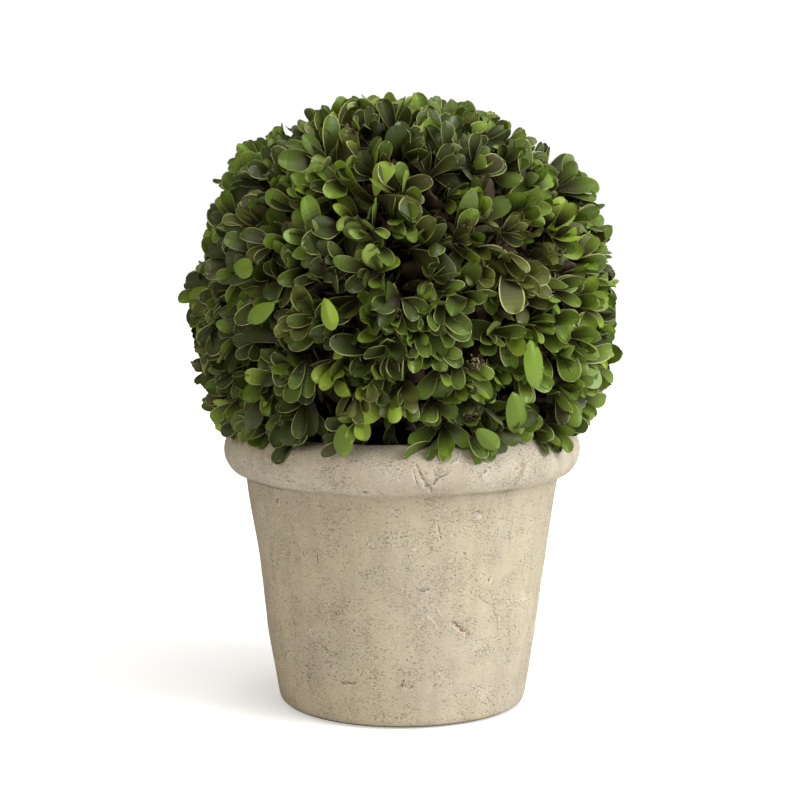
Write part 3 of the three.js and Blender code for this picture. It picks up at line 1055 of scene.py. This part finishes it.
def leaf_points(leaves, shape):
    """Every point of every leaf: cupped, folded, curled and twisted by the leaf's own amounts."""
    def column(name):
        return leaves[name][:, None, None]

    s = shape.rings[None, :, None]
    v = np.concatenate([shape.columns, shape.back])[None, None, :]
    under = np.arange(v.size)[None, None, :] >= len(shape.columns)
    half = column("width") / 2 * leaf_outline(s, column("fullness"))
    bend = (column("curl") * s)[..., None]
    safe = np.where(np.abs(column("curl")) < 1e-3, 1e-3, column("curl"))
    forward = column("length") * np.sin(safe * s) / safe
    sink = -column("length") * (1 - np.cos(safe * s)) / safe
    notch = column("notch") * np.exp(-((v / 0.4) ** 2)) * np.clip((s - 0.7) / 0.3, 0, 1) ** 2
    forward = forward - notch * column("length")
    lift = column("cup") * half * v**2 + column("fold") * half * np.abs(v)
    lift = lift + column("ripple") * half * v * np.sin(RIPPLE_RATE * s + column("phase"))
    lift = lift - under * LEAF_THICKNESS * np.sin(np.pi * np.clip(s * 0.9 + 0.08, 0, 1)) ** 0.4
    inner = np.maximum(1 - np.abs(v) / MARGIN_LINE, 0)
    lift = lift - under * UNDERSIDE_BULGE * half * np.maximum(column("cup"), 0) * inner

    heading = leaves["heading"][:, None, None]
    face = leaves["face"][:, None, None]
    side = np.cross(heading, face)
    turn = (column("twist") * s)[..., None]
    side_here = side * np.cos(turn) + face * np.sin(turn)
    face_here = face * np.cos(turn) - side * np.sin(turn)
    raised = face_here * np.cos(bend) + heading * np.sin(bend)
    base = leaves["base"][:, None, None]
    spine = base + heading * forward[..., None] + face * sink[..., None]
    shrink = 1 - CUP_SHRINK * np.abs(column("cup") + column("fold")) * v**2
    points = spine - side_here * (half * v * shrink)[..., None] + raised * lift[..., None]
    points = points.reshape(len(points), -1, 3)

    curl = safe[:, :, 0]
    tip_forward = leaves["length"][:, None] * (np.sin(curl) / curl - leaves["notch"][:, None] * 0.8)
    tip_sink = -leaves["length"][:, None] * (1 - np.cos(curl)) / curl
    tip = leaves["base"] + leaves["heading"] * tip_forward + leaves["face"] * tip_sink
    return np.concatenate([points, leaves["base"][:, None], tip[:, None]], axis=1)


def clear_of_rim(points, shape):
    """Lays whatever would cut into the pot's rim on its surface, the upper face outermost."""
    skin = np.full(points.shape[1], FACE_REST)
    for ring in range(len(shape.rings)):
        start = ring * shape.stride + len(shape.columns)
        skin[start:start + len(shape.back)] = BACK_REST
    radius = np.maximum(np.hypot(points[..., 0], points[..., 1]), 1e-6)
    out = radius - BEAD_CENTRE
    over = points[..., 2] - BEAD_MIDDLE
    reach = np.where(out > 0, BEAD_REACH, LIP_REACH) + skin
    rise = np.where(over > 0, BEAD_RISE, BEAD_DROP) + skin
    depth = np.sqrt((out / reach) ** 2 + (over / rise) ** 2)
    grow = np.where(depth < 1, 1 / np.maximum(depth, 0.35), 1.0)
    moved = BEAD_CENTRE + out * grow
    points[..., 0] *= moved / radius
    points[..., 1] *= moved / radius
    points[..., 2] = BEAD_MIDDLE + over * grow
    return points


def foliage_piece(name, leaves, shape, materials, slot_of, *replaced):
    points = clear_of_rim(leaf_points(leaves, shape), shape)
    step = np.arange(len(points))[:, None, None] * shape.count
    quads = (shape.quads[None] + step).reshape(-1, 4)
    tris = (shape.tris[None] + step).reshape(-1, 3)
    choice = {kind: slot_of(leaves, kind) for kind in {*shape.quad_kinds, *shape.tri_kinds}}
    slots = np.concatenate([
        np.stack([choice[kind] for kind in kinds], axis=1).ravel()
        for kinds in (shape.quad_kinds, shape.tri_kinds)
    ])
    piece = mesh_piece(name, points.reshape(-1, 3), [quads, tris], materials, slots)
    belongs(piece, "foliage", *replaced)


def add_leaf(bed, **leaf):
    bed.append({**PLAIN_LEAF, **leaf})


def leaf_arrays(rows):
    """One array for each measure of the leaves, from a list with one row for each leaf."""
    return {name: np.array([row[name] for row in rows], dtype=float) for name in rows[0]}


def crown_reach(tree, direction):
    """Distance from the heart of the crown to its clipped surface in a direction."""
    far = Vector(HEART + direction * OUTSIDE)
    hit = tree.ray_cast(far, Vector(-direction))[0]
    return (hit - Vector(HEART)).length if hit else 0.0


def shag(direction):
    """How far the tips stand beyond the clipped surface in a direction, in metres."""
    total = 0.0
    for bearing, rise, amount, spread in SHAGGY_PLACES:
        cosine = direction.dot(crown_frame(bearing, rise)[0])
        angle = math.degrees(math.acos(min(max(cosine, -1.0), 1.0)))
        total += amount * MM * math.exp(-((angle / spread) ** 2))
    return total


def sprig_places(tree, rng):
    """Where sprigs are rooted: spread evenly but unevenly deep under the clipped surface."""
    places = []
    golden = math.pi * (3 - math.sqrt(5))
    for index in range(SPRIG_COUNT):
        level = 1 - 2 * (index + 0.5) / SPRIG_COUNT
        spin = golden * index
        ring = math.sqrt(1 - level * level)
        direction = np.array([ring * math.cos(spin), ring * math.sin(spin), level])
        direction = unit(direction + rng.normal(0, SPRIG_SCATTER, 3))
        reach = crown_reach(tree, direction)
        surface = HEART + direction * reach
        if surface[2] < LOWEST_SPRIG or reach < LEAST_REACH:
            continue
        hollow = noise.noise(Vector(surface) / HOLLOW_SIZE)
        if hollow > BARE_HOLLOW:
            continue
        depth = rng.normal(*SPRIG_DEPTH) * MM + HOLLOW_DEPTH * max(hollow, -0.3) - shag(direction)
        places.append((HEART + direction * (reach - depth), direction))
    return places


def choose_family(place, rng):
    """A tint for a sprig, with neighbours leaning towards the same one and with light and shade
    painted at the listed places.
    """
    drift = np.array([
        noise.noise(Vector(place) / DRIFT_SIZE + Vector((0, 0, 11.0 * index)))
        for index in range(len(TINTS))
    ])
    outward = unit(np.array(place) - HEART)
    for bearing, rise, spread, strength, gathered in LIGHT_AND_TINT_PLACES:
        cosine = outward.dot(crown_frame(bearing, rise)[0])
        near = strength * math.exp((cosine - 1) / math.radians(spread) ** 2)
        for name in gathered:
            drift[TINT_NAMES.index(name)] += near / len(gathered)
    weight = TINT_SHARES * np.exp(DRIFT_STRENGTH * drift)
    return int(rng.choice(len(TINTS), p=weight / weight.sum()))


def sprig_axes(direction, rng):
    """Where a sprig points, which way its leaves face, and the direction across both."""
    swept = direction - LIT_SIDE * direction.dot(LIT_SIDE)
    axis = unit(direction + SPRIG_SWEEP * swept + rng.normal(0, SPRIG_STRAY, 3) + DOWN * DROOP)
    turned = np.clip(direction.dot(LIT_SIDE) + LIGHT_WRAP, 0, 1)
    light = unit(direction + LIT_SIDE * LIGHT_PULL * turned)
    toward = unit(light - axis * light.dot(axis) + rng.normal(0, FACING_STRAY, 3))
    toward = unit(toward - axis * toward.dot(axis))
    return axis, toward, np.cross(axis, toward)


def leaf_pose(axes, bearing, spread, rng):
    """Where a leaf of a sprig points and which way its upper side faces."""
    axis, toward, across = axes
    out = unit(across * math.cos(bearing) + toward * PAIR_FLATNESS * math.sin(bearing))
    heading = unit(axis * math.cos(spread) + out * math.sin(spread) + DOWN * DROOP)
    tilt = FACE_TILT * (axis * math.sin(spread) - out)
    face = toward + tilt + rng.normal(0, FACE_STRAY, 3)
    return heading, unit(face - heading * face.dot(heading))


def overhang(tree, tip, allowance):
    """How far a leaf's tip stands out of the clipped surface beyond an allowance, in metres."""
    pointing = unit(tip - HEART)
    limit = crown_reach(tree, pointing) + shag(pointing) + allowance
    return max(np.linalg.norm(tip - HEART) - limit, 0)


def green_leaf(bed, family, length, rng, **pose):
    """One leaf of a sprig, with its own amount of every bend and mostly its sprig's tint."""
    if rng.random() < STRAY_TINTS:
        family = int(rng.choice(len(TINTS), p=TINT_SHARES / TINT_SHARES.sum()))
    # Some leaves take the other blade shade on their right half: painted shade on one side of the
    # fold.
    left = int(rng.random() < 0.5)
    rooted = rng.random() < 0.6 or TINT_NAMES[family] != "lime"
    add_leaf(
        bed, length=length, width=length * LEAF_SHAPE * rng.normal(1, 0.1),
        fullness=rng.uniform(*LEAF_FULLNESS), cup=rng.normal(*LEAF_CUP),
        fold=rng.normal(*LEAF_FOLD), twist=rng.normal(*LEAF_TWIST),
        notch=max(rng.normal(*LEAF_NOTCH), 0), ripple=rng.normal(*LEAF_RIPPLE),
        phase=rng.uniform(0, 6.3), family=family, left=left,
        right=1 - left if rng.random() < 0.4 else left,
        margin=int(rng.integers(len(MARGINS) + 1)), rooted=int(rooted),
        ribbed=int(rng.random() < 0.6), **pose,
    )


def dress_sprig(bed, place, direction, tree, rng):
    """A sprig: opposite pairs of leaves that open forwards and turn their faces to the light."""
    family = choose_family(place, rng)
    axes = sprig_axes(direction, rng)
    pairs = int(rng.choice([2, 3], p=[0.5, 0.5]))
    vigour = np.clip(rng.normal(*LEAF_VIGOUR), 0.7, 1.34)
    vigour += 0.2 * noise.noise(Vector(place) / VIGOUR_SIZE)
    first = rng.uniform(0, math.pi)
    lift = PROUD_LIFT * rng.random() if rng.random() < PROUD_SPRIGS else 0.0
    node = np.array(place, dtype=float)
    for pair in range(pairs):
        age = 1 - pair / (pairs - 1)
        size = 0.82 + 0.22 * min(age * 1.6, 1.0)
        opening = math.radians(OPENING + MORE_OPENING * age)
        spin = first + pair * math.pi / 2 + rng.normal(0, PAIR_STRAY)
        for flip in (0, math.pi):
            if rng.random() < LOST_LEAVES:
                continue
            bearing = spin + flip + rng.normal(0, LEAF_STRAY)
            spread = opening + rng.normal(0, OPENING_STRAY)
            heading, face = leaf_pose(axes, bearing, spread, rng)
            length = LEAF_LENGTH * vigour * size * rng.normal(1, 0.08)
            curl = rng.normal(*LEAF_CURL)
            bow = 0.5 * curl
            tip = node + (heading * math.cos(bow) - face * math.sin(bow)) * length
            over = overhang(tree, tip, (rng.uniform(*TIP_SPREAD) + lift) * MM)
            base = node - unit(node - HEART) * over
            green_leaf(bed, family, length, rng, base=base, heading=heading, face=face, curl=curl)
        node = node + axes[0] * rng.uniform(*PAIR_STEP) * MM


def crown_frame(bearing, rise):
    """Outward, eastward and upward directions at a place on the crown, from two angles."""
    turn, climb = math.radians(bearing), math.radians(rise)
    level = np.array([math.sin(turn), -math.cos(turn), 0.0])
    east = np.array([math.cos(turn), math.sin(turn), 0.0])
    outward = level * math.cos(climb) + np.array([0, 0, math.sin(climb)])
    return outward, east, np.cross(outward, east)


def young_leaves(bed, tree, rng):
    """The listed young leaves: broad, folded along the rib, and with no pale margin."""
    for bearing, rise, turn, length, tint in YOUNG_LEAVES:
        outward, east, up = crown_frame(bearing, rise)
        angle = math.radians(turn)
        heading = unit(up * math.cos(angle) + east * math.sin(angle) + outward * 0.42)
        face = unit(outward - heading * outward.dot(heading))
        # The two halves take the two blade shades: painted light and shade either side of the fold.
        shade = int(rng.random() < 0.5)
        add_leaf(
            bed, base=HEART + outward * (crown_reach(tree, outward) - 4.0 * MM), heading=heading,
            face=face, length=length * MM, width=length * MM * 0.54, fullness=0.74, cup=-0.12,
            fold=-0.2, curl=0.6, twist=rng.normal(0, 0.12), ripple=0.06,
            family=TINT_NAMES.index(tint), left=shade, right=1 - shade, margin=len(MARGINS),
            ribbed=1,
        )


def dried_heads(bed, tree, rng):
    """Small tufts of narrow dried scales left where the flowers were."""
    places = [crown_frame(*head)[0] for head in DRIED_HEADS]
    places += list(unit(rng.normal(0, 1, (SCATTERED_HEADS, 3))))
    for outward in places:
        centre = HEART + outward * (crown_reach(tree, outward) - rng.uniform(7.0, 11.0) * MM)
        if centre[2] < RIM_TOP + 6 * MM:
            continue
        for _ in range(SCALES_PER_HEAD):
            heading = unit(outward * 0.6 + rng.normal(0, 0.6, 3))
            length = rng.uniform(1.5, 3.8) * MM
            add_leaf(
                bed, base=centre + rng.normal(0, 1.7, 3) * MM, heading=heading,
                face=unit(np.cross(heading, rng.normal(0, 1, 3))), length=length,
                width=length * rng.uniform(0.25, 0.5), cup=rng.normal(0.3, 0.4),
                curl=rng.normal(0, 0.8), twist=rng.normal(0, 0.5),
                family=int(rng.integers(len(DRY_TINTS))),
            )


def old_leaves(bed, tree, rng):
    """Dark old leaves on the inner twigs, which close the view into the crown."""
    while len(bed) < OLD_LEAF_COUNT:
        direction = unit(rng.normal(0, 1, 3))
        reach = crown_reach(tree, direction)
        share = rng.uniform(0.5, 0.82) if rng.random() < 0.8 else rng.uniform(0.1, 0.5)
        place = HEART + direction * reach * share
        heading = unit(direction * 0.4 + rng.normal(0, 0.6, 3))
        face = unit(np.cross(heading, rng.normal(0, 1, 3)))
        length = LEAF_LENGTH * rng.uniform(0.9, 1.3)
        tip = place + heading * length
        depth = crown_reach(tree, unit(tip - HEART)) - np.linalg.norm(tip - HEART)
        if min(place[2], tip[2]) < RIM_TOP + 2 * MM or depth < OLD_LEAF_COVER:
            continue
        add_leaf(
            bed, base=place, heading=heading, face=face, length=length,
            width=length * LEAF_SHAPE, cup=rng.normal(0.3, 0.2), curl=rng.normal(0.2, 0.3),
            twist=rng.normal(0, 0.3), family=int(rng.integers(len(OLD_TINTS))),
        )


def green_slots(leaves, kind):
    """Slots in the order of `leaf_materials`; a leaf without a pale margin uses its blade's."""
    family, left, margin = (leaves[name].astype(int) for name in ("family", "left", "margin"))
    backs = 2 * len(TINTS)
    roots = backs + len(TINTS)
    margins = roots + len(ROOT_SHADE_BANDS) * len(TINTS)
    blade = family * 2 + left
    if kind == "left":
        return blade
    if kind == "right":
        return family * 2 + leaves["right"].astype(int)
    if kind == "back":
        return backs + family
    if kind == "rib":
        return np.where(leaves["ribbed"] > 0, backs + family, blade)
    if kind == "margin":
        return np.where(margin < len(MARGINS), margins + margin, blade)
    band = int(kind.removeprefix("root"))
    return np.where(leaves["rooted"] > 0, roots + family * len(ROOT_SHADE_BANDS) + band, blade)


def own_slots(leaves, kind):
    """Slots of a leaf of one tint, whatever the kind of face."""
    return leaves["family"].astype(int)


def grow_plant(mottle, pitting):
    rng = np.random.default_rng(SEED)
    tree = surface_tree("crown")
    sprigs, heads, inner = [], [], []
    places = sprig_places(tree, rng)
    for place, direction in places:
        dress_sprig(sprigs, place, direction, tree, rng)
    limbs = grow_boughs(np.array([place for place, _ in places]), rng)
    thick = [limb for limb in limbs if limb[3] >= BOUGH_TIPS]
    thin = [limb for limb in limbs if limb[3] < BOUGH_TIPS]
    wood_piece(thick, [bark_material(mottle, pitting)])
    twig_piece(thin, tint_materials("twig", TWIG_TINTS, 0.7, 0.35), rng)
    young_leaves(sprigs, tree, rng)
    dried_heads(heads, tree, rng)
    dry = tint_materials("dried_head", DRY_TINTS, 0.8, 0.2)
    foliage_piece("dried_heads", leaf_arrays(heads), DRIED_SCALE, dry, own_slots)
    old_leaves(inner, tree, rng)
    dark = tint_materials("old_leaf", OLD_TINTS, 0.75, 0.25)
    foliage_piece("old_leaves", leaf_arrays(inner), OLD_LEAF, dark, own_slots)
    greens = leaf_materials()
    bands = np.quantile([row["base"][2] for row in sprigs], (0, 0.25, 0.5, 0.75, 1))
    bands[-1] += MM
    names = ("leaves_low", "leaves_middle", "leaves_high", "leaves_top")
    for name, low, high in zip(names, bands, bands[1:]):
        leaves = leaf_arrays([row for row in sprigs if low <= row["base"][2] < high])
        foliage_piece(name, leaves, FULL_LEAF, greens, green_slots, "crown")


add_camera()
light_the_studio()
add_floor()
MOTTLE, PITTING = mottle_group(), pitting_group()
grow_plant(MOTTLE, PITTING)
pot_piece([stone_material(MOTTLE, PITTING)])
fill_piece([moss_material(MOTTLE)])
